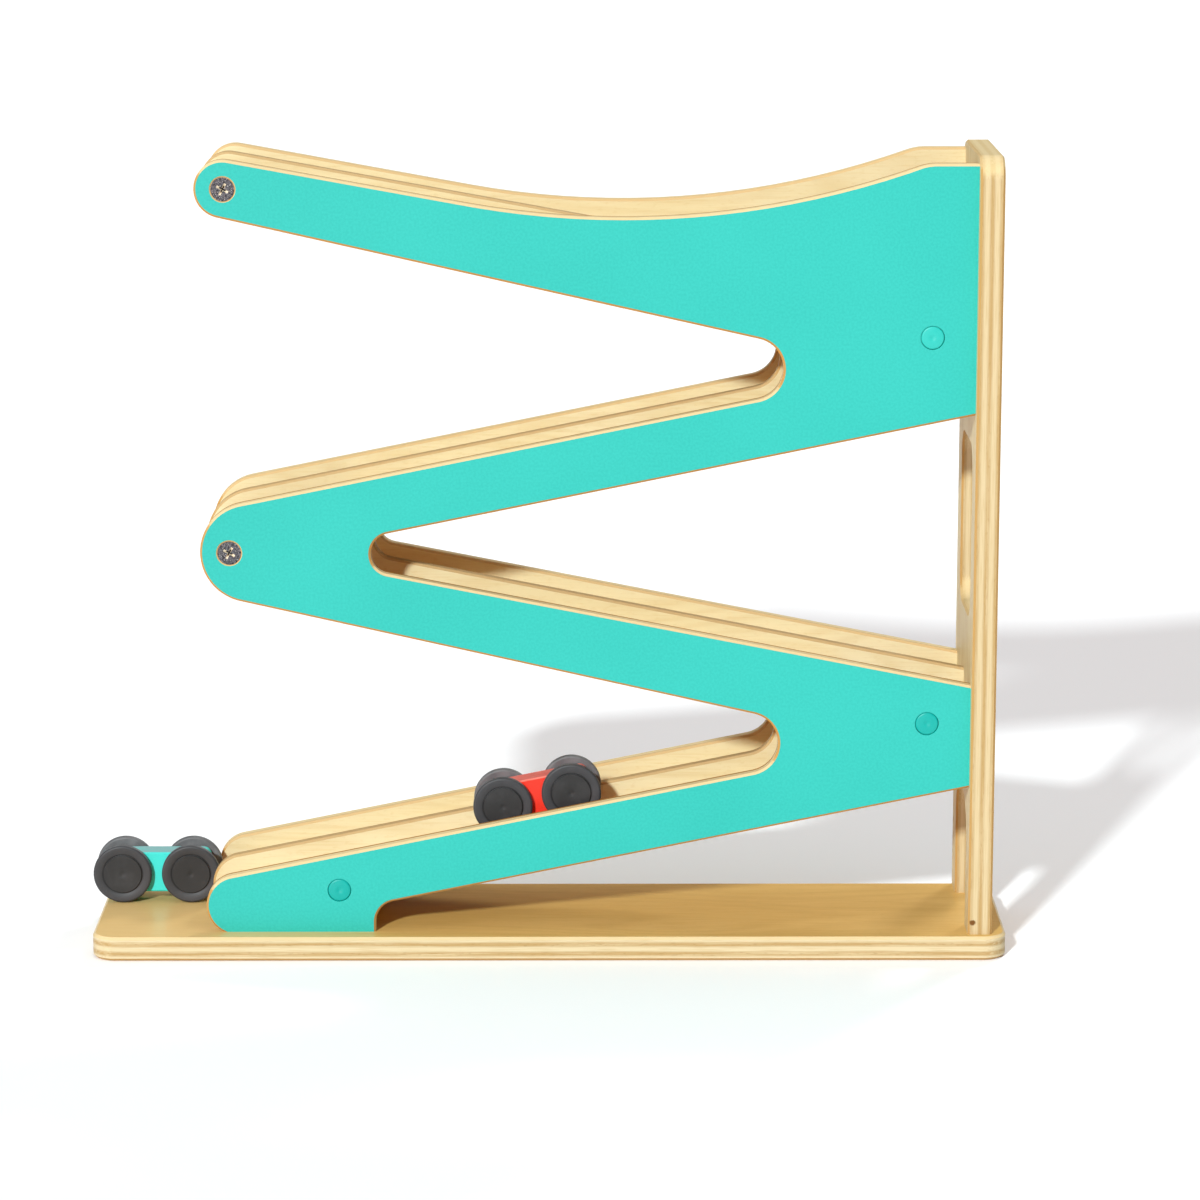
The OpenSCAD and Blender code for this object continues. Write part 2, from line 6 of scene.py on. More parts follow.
import bpy
import numpy as np
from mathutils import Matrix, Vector


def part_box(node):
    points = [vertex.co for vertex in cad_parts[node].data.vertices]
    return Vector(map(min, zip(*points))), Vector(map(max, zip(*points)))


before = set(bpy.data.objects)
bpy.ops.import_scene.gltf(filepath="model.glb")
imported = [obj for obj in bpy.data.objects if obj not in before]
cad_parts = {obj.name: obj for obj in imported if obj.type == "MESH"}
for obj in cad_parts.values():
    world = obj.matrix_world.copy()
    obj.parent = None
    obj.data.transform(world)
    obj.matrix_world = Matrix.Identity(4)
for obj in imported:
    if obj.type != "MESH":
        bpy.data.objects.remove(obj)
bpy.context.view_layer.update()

MM = 0.001
AXES = "xyz"

# Linear colours
BIRCH_LIGHT = (0.67, 0.58, 0.36)
BIRCH_MID = (0.64, 0.535, 0.3)
BIRCH_LINE = (0.53, 0.385, 0.17)
TAN_LIGHT = (0.725, 0.455, 0.144)
TAN_MID = (0.655, 0.4, 0.113)
TAN_LINE = (0.54, 0.307, 0.074)
EDGE_LIGHT = (0.585, 0.485, 0.3)
EDGE_DARK = (0.39, 0.255, 0.1)
EDGE_STREAK = (0.25, 0.145, 0.045)
EASED = (0.44, 0.255, 0.085)  # sanded and lacquered end grain along the eased edges
EASED_PANEL = (0.42, 0.205, 0.04)  # on painted panels
EASED_SHADE_UNDER = (0.45, 0.19, 0.022)  # and on their edges that face down, darker as painted shade
# painted light, paler towards the base's left end
PAINTED_LIGHT_TAN = (0.7, 0.48, 0.205)
PAINTED_LIGHT_EDGE = (0.83, 0.66, 0.36)  # edges that face up, paler as painted light
BROWN_SHADE_EDGE = (0.42, 0.235, 0.075)  # and browner ones that face up: painted shade over darker edge grain
SHADE_PLY_BROWN = (0.38, 0.17, 0.035)  # the ply on the bare side of a painted panel, brown as painted shade
RING_WOOD = (0.6, 0.42, 0.19)  # raw wood of the countersinks
KNOT = (0.15, 0.065, 0.018)
TEAL = (0.02, 0.412, 0.356)
TEAL_DEEP = (0.012, 0.358, 0.308)
TEAL_RIM = (0.003, 0.353, 0.305)  # paint where it thins out over an eased edge
TEAL_HOLE_LIGHT = (0.02, 0.62, 0.54)  # and where it ran into the holes round the plugs, brighter there as painted light against the shade in the gap
# the lower plugs, darker as painted shade
SHADED_PLUG_TEAL = (0.002, 0.321, 0.28)
CAR_TEAL = (0.04, 0.58, 0.52)
TEAL_WORN_AND_SHEEN = (0.3, 0.42, 0.43)
TEAL_EDGE_WEAR_AND_HIGHLIGHT = (0.06, 0.52, 0.46)
RED = (0.728, 0.032, 0.015)
RED_WORN_AND_SHEEN = (0.74, 0.25, 0.21)
RED_EDGE_WEAR_AND_HIGHLIGHT = (0.72, 0.18, 0.14)
CHARCOAL = (0.038, 0.0385, 0.0415)
# the disc round a wheel's hub, darker as painted shade
CHARCOAL_HUB_SHADE = (0.0195, 0.02, 0.0205)
# painted shade and dirt in the groove round a wheel's hub
GROOVE_SHADE_AND_DIRT = (0.012, 0.012, 0.012)
# dust, and painted light on treads and inner sides
DUST_AND_PAINTED_LIGHT = (0.14, 0.14, 0.145)
ZINC = (0.15, 0.15, 0.165)
ZINC_STAIN = (0.035, 0.035, 0.04)
ZINC_BRIGHT = (0.7, 0.69, 0.67)
# painted highlight on the walls of a screw's recess, and painted shade at its bottom
RECESS_WALL_HIGHLIGHT = (0.85, 0.76, 0.6)
RECESS_SHADE = (0.012, 0.009, 0.007)
FLOOR_PAPER = (0.952, 0.93, 0.932)
WHITE = (1, 1, 1)
COOL_WHITE = (0.885, 0.98, 1)
WARM = (1, 0.17, 0)

# Noise runs from 0 to 1. Its roughness is how strong its finer waves are
NOISE_MIDDLE = 0.5
SOFT, CRISP = 0.5, 0.6


class Nodes:
    """A node tree and short forms for the nodes in it."""

    FACTOR, COLOUR_A, COLOUR_B, COLOUR_OUT = 0, 6, 7, 2  # sockets of the node that mixes colours

    def __init__(self, tree):
        self.tree = tree

    def node(self, kind, inputs=(), **settings):
        made = self.tree.nodes.new(kind)
        for key, value in settings.items():
            setattr(made, key, value)
        for key, value in dict(inputs).items():
            self.put(made.inputs[key], value)
        return made

    def put(self, socket, value):
        if isinstance(value, bpy.types.NodeSocket):
            self.tree.links.new(value, socket)
        elif socket.type == "RGBA":
            socket.default_value = (*value, 1)
        else:
            socket.default_value = value

    def math(self, operation, *values, clamp=False):
        made = self.node("ShaderNodeMath", operation=operation, use_clamp=clamp)
        for socket, value in zip(made.inputs, values):
            self.put(socket, value)
        return made.outputs[0]

    def times(self, a, b):
        return self.math("MULTIPLY", a, b)

    def less(self, a, b):
        return self.math("SUBTRACT", a, b)

    def ramp(self, value, at_zero, at_one):
        """at_zero where value is 0 and at_one where it is 1, in a straight line."""
        return self.math("ADD", at_zero, self.times(value, at_one - at_zero))

    def between(self, value, low, high):
        """0 at low and 1 at high, with a smooth step."""
        made = self.node("ShaderNodeMapRange", {0: value, 1: low, 2: high},
                         interpolation_type="SMOOTHSTEP")
        return made.outputs[0]

    def mix(self, share, a, b):
        """Colour a where share is 0 and colour b where it is 1."""
        made = self.node("ShaderNodeMix", data_type="RGBA")
        self.put(made.inputs[self.FACTOR], share)
        self.put(made.inputs[self.COLOUR_A], a)
        self.put(made.inputs[self.COLOUR_B], b)
        return made.outputs[self.COLOUR_OUT]

    def cover(self, colour, over, where, strength):
        """colour with over on it where where is above 0, and as far as strength where it is 1."""
        return self.mix(self.times(where, strength), colour, over)

    def noise(self, at, scale, detail, roughness, distortion=0.0):
        return self.node("ShaderNodeTexNoise", {
            "Vector": at, "Scale": scale, "Detail": detail, "Roughness": roughness,
            "Distortion": distortion}).outputs[0]

    def parts(self, vector):
        return self.node("ShaderNodeSeparateXYZ", {0: vector}).outputs

    def vector(self, x, y, z):
        return self.node("ShaderNodeCombineXYZ", {0: x, 1: y, 2: z}).outputs[0]

    def vectors(self, operation, a, b):
        return self.node("ShaderNodeVectorMath", {0: a, 1: b}, operation=operation).outputs


class Shade(Nodes):
    """A material and the nodes that it is made of."""

    def __init__(self, name):
        self.material = bpy.data.materials.new(name)
        self.material.use_nodes = True
        super().__init__(self.material.node_tree)
        self.surface = self.tree.nodes["Principled BSDF"]

    def set(self, **values):
        for key, value in values.items():
            self.put(self.surface.inputs[key.replace("_", " ")], value)

    def place(self):
        """Object coordinates, which stay with a piece when its body moves."""
        return self.node("ShaderNodeTexCoord").outputs["Object"]

    def facing(self):
        """The surface's own normal in object coordinates, before bump."""
        return self.node("ShaderNodeTexCoord").outputs["Normal"]

    def pattern(self, scale, detail=2, roughness=SOFT):
        """Noise on the piece, where scale is in waves per metre."""
        return self.noise(self.place(), scale, detail, roughness)

    def streaks(self, scales, detail=2, roughness=SOFT):
        """The same with a scale of its own along x, y and z."""
        return self.noise(self.vectors("MULTIPLY", self.place(), scales)[0], 1, detail, roughness)

    def bump(self, height, distance, strength=1.0):
        return self.node("ShaderNodeBump", {
            "Height": height, "Distance": distance, "Strength": strength}).outputs[0]


# Patterns in wood: waves per millimetre along the grain and across it, detail and roughness
CLOUDS = (0.012, 0.05, 2, SOFT)
GROWTH = (0.0055, 0.028, 1, 0.4)
FIBRES = (0.06, 1.4, 3, CRISP)
FLECKS = (0.35, 0.9, 2, SOFT)
WANDERING = (0.02, 0.02, 2, SOFT)
STREAKS = (0.03, 1.1, 3, CRISP)
FINE_STREAKS = (0.08, 3.5, 2, SOFT)
PORES = (0.4, 2.2, 2, SOFT)


def grain_place(s, along, shift=(0, 0, 0)):
    """Coordinates in millimetres as (along the grain, across it, across it)."""
    x, y, z = s.parts(s.vectors("ADD", s.place(), shift)[0])
    order = {"x": (x, y, z), "y": (y, x, z), "z": (z, y, x)}[along]
    return [s.math("DIVIDE", part, MM) for part in order]


def wood_noise(s, place, pattern, distortion=0.0):
    """Noise in one of the patterns in wood, at a place from grain_place."""
    along, across, depth = place
    lengthwise, sideways, detail, roughness = pattern
    at = s.vector(s.times(along, lengthwise), s.times(across, sideways), s.times(depth, sideways))
    return s.noise(at, 1, detail, roughness, distortion)


# Faces: the values of a pattern between which it comes to show, and how strong it gets
MID_SHOWS = (0.3, 0.72)
RING_SHOWS = (0.1, 0.5)
FIBRE_SHOWS, FIBRE_STRENGTH = (0.46, 0.76), 0.36
FLECK_SHOWS, FLECK_STRENGTH = (0.54, 0.72), 0.22
GROWTH_LINES = 13  # growth rings from the lowest to the highest value of their pattern
GROWTH_SWIRL = 0.3


def veneer(s, place, light, mid, line, figure):
    """Colour and relief of a sliced birch face: soft waves, cathedral lines and fine fibres."""
    cloud = wood_noise(s, place, CLOUDS)
    # Growth rings cut at a shallow angle: level lines of a slow, stretched noise
    level = s.times(wood_noise(s, place, GROWTH, GROWTH_SWIRL), GROWTH_LINES)
    ring = s.between(s.math("PINGPONG", level, 0.5), *RING_SHOWS)
    fibre = wood_noise(s, place, FIBRES)
    fleck = wood_noise(s, place, FLECKS)
    colour = s.mix(s.between(cloud, *MID_SHOWS), light, mid)
    colour = s.cover(colour, line, ring, figure)
    colour = s.cover(colour, line, s.between(fibre, *FIBRE_SHOWS), FIBRE_STRENGTH)
    colour = s.cover(colour, line, s.between(fleck, *FLECK_SHOWS), FLECK_STRENGTH)
    return colour, fibre


# Edges, in the same way
DARK_PLY = (0.38, 0.8)
SEAM_SHOWS, SEAM_STRENGTH = (0.72, 1.0), 0.22
STREAK_SHOWS, STREAK_STRENGTH = (0.18, 0.6), 0.9
FINE_SHOWS, FINE_STRENGTH = (0.45, 0.7), 0.38
PORE_SHOWS, PORE_STRENGTH = (0.54, 0.7), 0.3
WANDER = 0.05  # how far the plies wander, as a share of the board's thickness
END_GRAIN_DEPTH = 0.8  # how far end grain lies below long grain, against the relief of streaks


def ply_edge(s, across, place, plies, first):
    """Colour and height of a sawn plywood edge. across runs from 0 to 1 through the board. The
    plies take turns: one shows long grain, which is light, and the next shows end grain, which
    is darker. first is 0 where the outermost ply is light and 1 where it is dark."""
    wander = s.times(s.less(wood_noise(s, place, WANDERING), NOISE_MIDDLE), WANDER)
    step = s.times(s.math("ADD", across, wander), plies)
    # 0 in the middle of every light ply, 1 in the middle of every dark one
    turn = s.math("PINGPONG", s.math("ADD", step, first - 0.5), 1)
    dark = s.between(turn, *DARK_PLY)
    # 1 in the glue between two plies
    seam = s.less(1, s.times(s.math("ABSOLUTE", s.less(turn, 0.5)), 2))
    streak = wood_noise(s, place, STREAKS)
    fine = wood_noise(s, place, FINE_STREAKS)
    pore = wood_noise(s, place, PORES)
    tone = s.times(dark, s.between(streak, *STREAK_SHOWS))
    dots = s.times(dark, s.between(pore, *PORE_SHOWS))
    colour = s.cover(EDGE_LIGHT, EDGE_DARK, tone, STREAK_STRENGTH)
    colour = s.cover(colour, EDGE_STREAK, s.between(seam, *SEAM_SHOWS), SEAM_STRENGTH)
    colour = s.cover(colour, EDGE_DARK, s.between(fine, *FINE_SHOWS), FINE_STRENGTH)
    colour = s.cover(colour, EDGE_STREAK, dots, PORE_STRENGTH)
    return colour, s.less(streak, s.times(dark, END_GRAIN_DEPTH))


def across_board(s, node, axis):
    """Depth through a board from 0 to 1, from the CAD node's own box."""
    low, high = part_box(node)
    return s.math("DIVIDE", s.less(s.parts(s.place())[axis], low[axis]), high[axis] - low[axis])


def from_axis(s, at):
    """Distance from the line through at along y."""
    x, _, z = s.parts(s.place())
    return s.math("SQRT", s.math("ADD", s.math("POWER", s.less(x, at.x), 2),
                                 s.math("POWER", s.less(z, at.z), 2)))


RING_FADE = 0.2 * MM


def ring_round(s, at, reach):
    """1 up to reach from the line through at along y, and 0 past the ring's fade."""
    return s.between(from_axis(s, at), reach + RING_FADE, reach)


# How far a surface faces up or down, from where a look begins to where it is full
FACES_UP = (0.1, 0.5)
FACES_DOWN = (-0.05, -0.3)

PAINTED_LIGHT_STRENGTH = 0.5
BARE_PLY = (0.58, 0.72)  # where it begins, as shares of the thickness from the painted side


def board_edge(s, edge, up, across, painted_side, edge_shade, dull):
    """Colour of a board's edge, over the colour of its plies. Where it faces up it is paler, as
    painted light, unless it is browned, as painted shade over darker edge grain. On a painted
    panel only the ply on the bare side is browned, as painted shade."""
    above = s.between(up, *FACES_UP)
    # Browned tops: painted shade over darker edge grain
    if edge_shade and not painted_side:
        edge = s.cover(edge, BROWN_SHADE_EDGE, above, edge_shade)
    else:
        # Other edges are paler where they face up: painted light
        edge = s.cover(edge, PAINTED_LIGHT_EDGE, above, PAINTED_LIGHT_STRENGTH)
    # On a painted panel the bare side's ply is browned where it faces up: painted shade
    if painted_side:
        inner = across if painted_side < 0 else s.less(1, across)
        edge = s.cover(edge, SHADE_PLY_BROWN, above, s.times(s.between(inner, *BARE_PLY), edge_shade))
    return s.mix(dull, edge, EDGE_DARK) if dull else edge


KNOT_RIM = (1.4, 0.7)  # the knot fades in between these shares of its radius
KNOT_FRAY = 900


def knotted(s, colour, at, radius):
    """A small dark knot with a frayed rim."""
    fray = s.times(s.less(s.pattern(KNOT_FRAY), NOISE_MIDDLE), radius)
    reach = s.math("ADD", fray, s.vectors("DISTANCE", s.place(), at)["Value"])
    return s.mix(s.between(reach, *(radius * share for share in KNOT_RIM)), colour, KNOT)


# Paint on a face, first by how far the surface faces along the board's thickness
PAINTED = (0.982, 0.996)
PAINT_THINS = (0.9999, 0.996)
LIT_PAINT_IN_HOLES = (0.95, 0.6)
PAINTED_RING = 0.3 * MM  # paint in a plug's hole reaches this far past the plug
COAT_CLOUDS, COAT_CLOUD_SHOWS, COAT_CLOUD_SHARE = 14, (0.3, 0.7), 0.35
COAT_GRIT, COAT_GRIT_SHOWS = 1100, (0.35, 0.65)
COAT_PEEL = 900
COAT_RELIEF = 0.5  # against the bare wood's
FIBRES_IN_COAT = 0.3
COAT_ROUGH = 0.44


def painted(s, turned, tones, plugs, fibre, colour, height, rough):
    """Colour, height and roughness of a board with satin paint where turned is near 1. Round the
    plugs the paint covers the holes' edges too, brighter there as painted light against the shade
    in the gap."""
    on = s.between(turned, *PAINTED)
    for at, radius in plugs:
        on = s.math("MAXIMUM", on, ring_round(s, at, radius + PAINTED_RING))
    cloud = s.between(s.pattern(COAT_CLOUDS), *COAT_CLOUD_SHOWS)
    grit = s.between(s.pattern(COAT_GRIT, 3, CRISP), *COAT_GRIT_SHOWS)
    deep = s.math("ADD", s.times(cloud, COAT_CLOUD_SHARE), s.times(grit, 1 - COAT_CLOUD_SHARE))
    tone = s.mix(deep, *tones)
    tone = s.mix(s.between(turned, *PAINT_THINS), tone, TEAL_RIM)
    # Paint in the holes is brighter: painted light against the shade in the gap
    tone = s.mix(s.between(turned, *LIT_PAINT_IN_HOLES), tone, TEAL_HOLE_LIGHT)
    coat = s.math("ADD", s.pattern(COAT_PEEL), s.times(fibre, FIBRES_IN_COAT))
    height = s.math("ADD", s.times(height, s.less(1, on)),
                    s.times(coat, s.times(on, COAT_RELIEF)))
    return s.mix(on, colour, tone), height, s.mix(on, rough, (COAT_ROUGH,) * 3)


PLIES = 5
FLAT = (0.93, 0.99)  # how far a surface faces along the thickness, from edge to face
GRAIN_SHIFT = 7  # a board's place times this keeps its grain apart from its neighbours'
PAINTED_LIGHT_TAN_STRENGTH = 0.8
LINE_FROM = (0.2, 0.65)  # where the line on an eased edge begins, on other edges and above
LINE_RISE = 5
LINE_STRENGTH = 0.85
RAW_RING = 0.6 * MM  # raw wood reaches this far past a screw's head
FIBRE_ROUGH = 0.2
EDGE_GLOSS = 0.06
FACE_GLOSS = 0.35
BOARD_RELIEF = 0.02 * MM


def plywood(node, grain, through, colours, plies=PLIES, first=0, figure=0.5, rough=0.42,
            edge_shade=0, dull=0, painted_light_along=None, knot=None, screws=(),
            paint=None, painted_side=0, plugs=()):
    """A plywood board, whose faces lie square to the axis through. Its edges take browned painted
    shade as far as given, and are dulled as far as dull says. Along x its face turns paler from
    one given place and is palest at another, as painted light. knot is a knot's place and radius.
    Round the screws the wood is raw. paint is two tones for the face on painted_side, with plugs
    in it."""
    s = Shade(f"{node}_plywood")
    low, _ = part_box(node)
    axis = AXES.index(through)
    place = grain_place(s, grain, shift=tuple(low * GRAIN_SHIFT))
    face, fibre = veneer(s, place, *colours, figure)
    across = across_board(s, node, axis)
    edge, ridge = ply_edge(s, across, place, plies, first)
    facing = s.parts(s.facing())
    tilt, up = facing[axis], facing[2]
    slope = s.math("ABSOLUTE", tilt)
    flat = s.between(slope, *FLAT)
    not_flat = s.less(1, flat)
    # The face turns paler along x: painted light
    if painted_light_along:
        x = s.parts(s.place())[0]
        face = s.cover(face, PAINTED_LIGHT_TAN, s.between(x, *painted_light_along), PAINTED_LIGHT_TAN_STRENGTH)
    edge = board_edge(s, edge, up, across, painted_side, edge_shade, dull)
    colour = s.mix(flat, edge, face)
    # The line along an eased edge is narrow where the edge faces up
    start = s.ramp(s.between(up, *FACES_UP), *LINE_FROM)
    on_line = s.math("MULTIPLY", s.less(slope, start), LINE_RISE, clamp=True)
    # On painted panels the line is darker where the edge faces down: painted shade
    line = s.mix(s.between(up, *FACES_DOWN), EASED_PANEL, EASED_SHADE_UNDER) if paint else EASED
    colour = s.cover(colour, line, s.times(not_flat, on_line), LINE_STRENGTH)
    for at, radius in screws:
        colour = s.mix(ring_round(s, at, radius + RAW_RING), colour, RING_WOOD)
    if knot:
        colour = knotted(s, colour, *knot)
    height = s.math("ADD", s.times(not_flat, ridge), fibre)
    rough = s.ramp(fibre, rough, rough + FIBRE_ROUGH)
    if paint:
        turned = s.times(tilt, painted_side)
        colour, height, rough = painted(s, turned, paint, plugs, fibre, colour, height, rough)
    s.set(Base_Color=colour, Roughness=rough, Normal=s.bump(height, BOARD_RELIEF, strength=0.5),
          Specular_IOR_Level=s.ramp(flat, EDGE_GLOSS, FACE_GLOSS))
    return s.material


DOWEL_FIGURE = 0.3
DOWEL_ROUGH = 0.5
DOWEL_RELIEF = 0.04 * MM


def solid_wood(name, grain, colours):
    """Bare round stock, such as a dowel."""
    s = Shade(name)
    colour, fibre = veneer(s, grain_place(s, grain), *colours, DOWEL_FIGURE)
    s.set(Base_Color=colour, Roughness=DOWEL_ROUGH,
          Normal=s.bump(fibre, DOWEL_RELIEF, strength=0.6))
    return s.material


# Paint on small pieces: wear and a painted reflection on top, wear and a painted highlight along
# the rim, and its finish
RUBBED = (120, 900, 300)
RUB_UP, RUB_SHOWS, RUB_RANGE, RUB_STRENGTH = (0.9, 1.0), (0.3, 0.6), (0.5, 1.0), 0.85
RIM_FROM, RIM_TO, RIM_SHOWS = (0.25, 0.5), (0.97, 0.85), (0.35, 0.55)
PAINT_SPECKS = 1400
PAINT_ROUGH = 0.38
PAINT_RELIEF = 0.03 * MM
SATIN_GLOSS = 0.3
TONE_FADE = MM


def paint_on_wood(name, colour, worn_and_sheen=None, edge=None, upper=None):
    """Satin paint on wood. Where colours for that are given, its upper face is worn and carries a
    painted reflection, and its edges are worn and carry a painted highlight. upper is a height and
    the paint's colour above it."""
    s = Shade(name)
    if upper:
        height, upper_colour = upper
        above = s.between(s.parts(s.place())[2], height - TONE_FADE, height + TONE_FADE)
        colour = s.mix(above, colour, upper_colour)
    if worn_and_sheen:
        up = s.parts(s.facing())[2]
        streak = s.streaks(RUBBED, 3, CRISP)
        rub_and_sheen = s.times(s.between(up, *RUB_UP), s.ramp(s.between(streak, *RUB_SHOWS), *RUB_RANGE))
        rim_wear_and_highlight = s.times(s.between(up, *RIM_FROM), s.between(up, *RIM_TO))
        # Lighter top: wear and painted reflection; lighter rim: wear and painted highlight
        colour = s.cover(colour, worn_and_sheen, rub_and_sheen, RUB_STRENGTH)
        colour = s.cover(colour, edge, rim_wear_and_highlight, s.between(streak, *RIM_SHOWS))
    s.set(Base_Color=colour, Roughness=PAINT_ROUGH, Specular_IOR_Level=SATIN_GLOSS,
          Normal=s.bump(s.pattern(PAINT_SPECKS), PAINT_RELIEF))
    return s.material


# Wheels
HUB_DISC = 0.333  # radius of the disc round a wheel's hub, as a share of the wheel's diameter
DISC_FADE = 0.45 * MM
GROOVE_PAST = 0.15 * MM  # the groove's middle lies this far past the disc
GROOVE_REACH = 0.55 * MM  # and the groove fades out this far from it
GROOVE_STRENGTH = 0.7
TURNED_RINGS = 0.09 * MM  # the distance from ring to ring, divided by twice pi
RING_RELIEF = 0.2
PLASTIC_CLOUDS, PLASTIC_GRIT = 160, 2600
DUST_AND_LIGHT_SIDES = (0.5, 0.1)  # how far a surface faces out, from where dust and painted light begin to where they are full
DUST_SHOWS, DUST_RANGE = (0.35, 0.65), (0.55, 1.0)
FAINT_SHOWS, FAINT_DUST = (0.45, 0.75), 0.08
PLASTIC_ROUGH = (0.46, 0.58)
PLASTIC_RELIEF = 0.02 * MM


def wheel_plastic(node):
    """Charcoal satin plastic with faint turned rings round the wheel's own centre."""
    s = Shade(f"{node}_plastic")
    low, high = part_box(node)
    reach = from_axis(s, (low + high) / 2)
    cloud = s.pattern(PLASTIC_CLOUDS, 3)
    # The disc round the hub is darker than the tread and the rim: painted shade for its dish
    disc = HUB_DISC * (high.x - low.x)
    colour = s.mix(s.between(reach, disc, disc + DISC_FADE), CHARCOAL_HUB_SHADE, CHARCOAL)
    # A dark line along the groove round the disc: painted shade and dirt
    off_groove = s.math("ABSOLUTE", s.less(reach, disc + GROOVE_PAST))
    groove_shade_and_dirt = s.math("SUBTRACT", 1, s.math("DIVIDE", off_groove, GROOVE_REACH), clamp=True)
    colour = s.cover(colour, GROOVE_SHADE_AND_DIRT, groove_shade_and_dirt, GROOVE_STRENGTH)
    # Treads and inner sides are dusty and painted lighter: dust, and painted light that lifts the
    # shade on them
    outward = s.times(s.parts(s.facing())[1], -1 if node.endswith("near") else 1)
    dust_and_painted_light = s.times(s.between(outward, *DUST_AND_LIGHT_SIDES),
                    s.ramp(s.between(cloud, *DUST_SHOWS), *DUST_RANGE))
    faint = s.times(s.between(cloud, *FAINT_SHOWS), FAINT_DUST)
    colour = s.mix(s.math("MAXIMUM", faint, dust_and_painted_light), colour, DUST_AND_PAINTED_LIGHT)
    rings = s.times(s.math("SINE", s.math("DIVIDE", reach, TURNED_RINGS)), RING_RELIEF)
    height = s.math("ADD", rings, s.pattern(PLASTIC_GRIT, 2, CRISP))
    s.set(Base_Color=colour, Roughness=s.ramp(cloud, *PLASTIC_ROUGH),
          Normal=s.bump(height, PLASTIC_RELIEF), Specular_IOR_Level=SATIN_GLOSS)
    return s.material


# Zinc
STAINS, STAIN_SHOWS = 1500, (0.42, 0.62)
SPARKS, SPARK_SHOWS = 2300, (0.6, 0.66)
SCRATCHES = (6000, 500, 900)
RECESS_FROM = (0.05 * MM, 0.2 * MM)  # depths between which a screw's recess begins
RECESS_SHADE_DEPTHS = (0.9 * MM, 1.4 * MM)  # and between which it turns dark, as painted shade
RECESS_METAL = 0.3
ZINC_ROUGH = (0.24, 0.44)
ZINC_RELIEF = 0.01 * MM


def zinc(name, node=None, into=None):
    """Bright zinc plate with fine scratches and stains. The recesses of screws have walls painted
    bright, as a painted highlight, and bottoms painted dark, as painted shade: into is the
    direction in which the screws of the node point."""
    s = Shade(name)
    stain = s.pattern(STAINS, 3, CRISP)
    spark = s.pattern(SPARKS, 2, CRISP)
    colour = s.mix(s.between(stain, *STAIN_SHOWS), ZINC, ZINC_STAIN)
    colour = s.mix(s.between(spark, *SPARK_SHOWS), colour, ZINC_BRIGHT)
    metal = 1.0
    if node:
        sign, axis = into[0], AXES.index(into[1])
        low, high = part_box(node)
        face = low[axis] if sign == "+" else high[axis]
        depth = s.math("ABSOLUTE", s.less(s.parts(s.place())[axis], face))
        inside = s.between(depth, *RECESS_FROM)
        recess_highlight_and_shade = s.mix(s.between(depth, *RECESS_SHADE_DEPTHS), RECESS_WALL_HIGHLIGHT, RECESS_SHADE)
        colour = s.mix(inside, colour, recess_highlight_and_shade)
        metal = s.ramp(inside, metal, RECESS_METAL)
    s.set(Base_Color=colour, Metallic=metal, Roughness=s.ramp(stain, *ZINC_ROUGH),
          Normal=s.bump(s.streaks(SCRATCHES), ZINC_RELIEF, strength=0.5))
    return s.material


# Facets of the CAD meshes
SMOOTH_ANGLE = math.radians(24)  # facets that meet below this angle are shaded as one curve
WELD = 0.002 * MM  # corners closer than this are one point
NO_LENGTH = 1e-30  # keeps a normal without length from dividing by zero


def smooth(mesh):
    """Shades facets that meet below SMOOTH_ANGLE as one curve, with the mesh itself unchanged."""
    count = len(mesh.loops)
    faces = len(mesh.polygons)
    points = np.empty(len(mesh.vertices) * 3)
    mesh.vertices.foreach_get("co", points)
    normals = np.empty(faces * 3)
    mesh.polygons.foreach_get("normal", normals)
    areas = np.empty(faces)
    mesh.polygons.foreach_get("area", areas)
    corner = np.empty(count, int)
    mesh.loops.foreach_get("vertex_index", corner)
    sides = np.empty(faces, int)
    mesh.polygons.foreach_get("loop_total", sides)
    owner = np.repeat(np.arange(faces), sides)
    normals = normals.reshape(-1, 3)
    spots = np.round(points.reshape(-1, 3)[corner] / WELD).astype(int)
    _, spot = np.unique(spots, axis=0, return_inverse=True)
    spot = spot.ravel()
    order = np.argsort(spot, kind="stable")
    starts = np.flatnonzero(np.r_[True, np.diff(spot[order]) > 0])
    shaded = np.empty((count, 3))
    for group in np.split(order, starts[1:]):
        own = normals[owner[group]]
        near = (own @ own.T) > math.cos(SMOOTH_ANGLE)
        total = near @ (own * areas[owner[group], None])
        size = np.linalg.norm(total, axis=1, keepdims=True)
        shaded[group] = np.where(size > 0, total / np.maximum(size, NO_LENGTH), own)
    mesh.polygons.foreach_set("use_smooth", np.ones(faces, bool))
    mesh.normals_split_custom_set(shaded.tolist())


ROUND_APART = 12 * MM  # a node's round solids have centres further apart than this


def solids(node):
    """Places and radii of a node's separate round solids, which lie along y."""
    found = []
    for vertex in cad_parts[node].data.vertices:
        for group in found:
            first = group[0]
            if math.hypot(vertex.co.x - first.x, vertex.co.z - first.z) < ROUND_APART:
                group.append(vertex.co)
                break
        else:
            found.append([vertex.co])
    made = []
    for group in found:
        low = Vector(min(v[i] for v in group) for i in range(3))
        high = Vector(max(v[i] for v in group) for i in range(3))
        made.append(((low + high) / 2, (high.x - low.x) / 2))
    return made


def dress(node, material):
    """Gives a CAD node its material and shades its facets as the curves they stand for."""
    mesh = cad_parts[node].data
    mesh.materials.clear()
    mesh.materials.append(material)
    mesh.polygons.foreach_set("material_index", [0] * len(mesh.polygons))
    smooth(mesh)


birch = (BIRCH_LIGHT, BIRCH_MID, BIRCH_LINE)
tan = (TAN_LIGHT, TAN_MID, TAN_LINE)
teal = (TEAL, TEAL_DEEP)

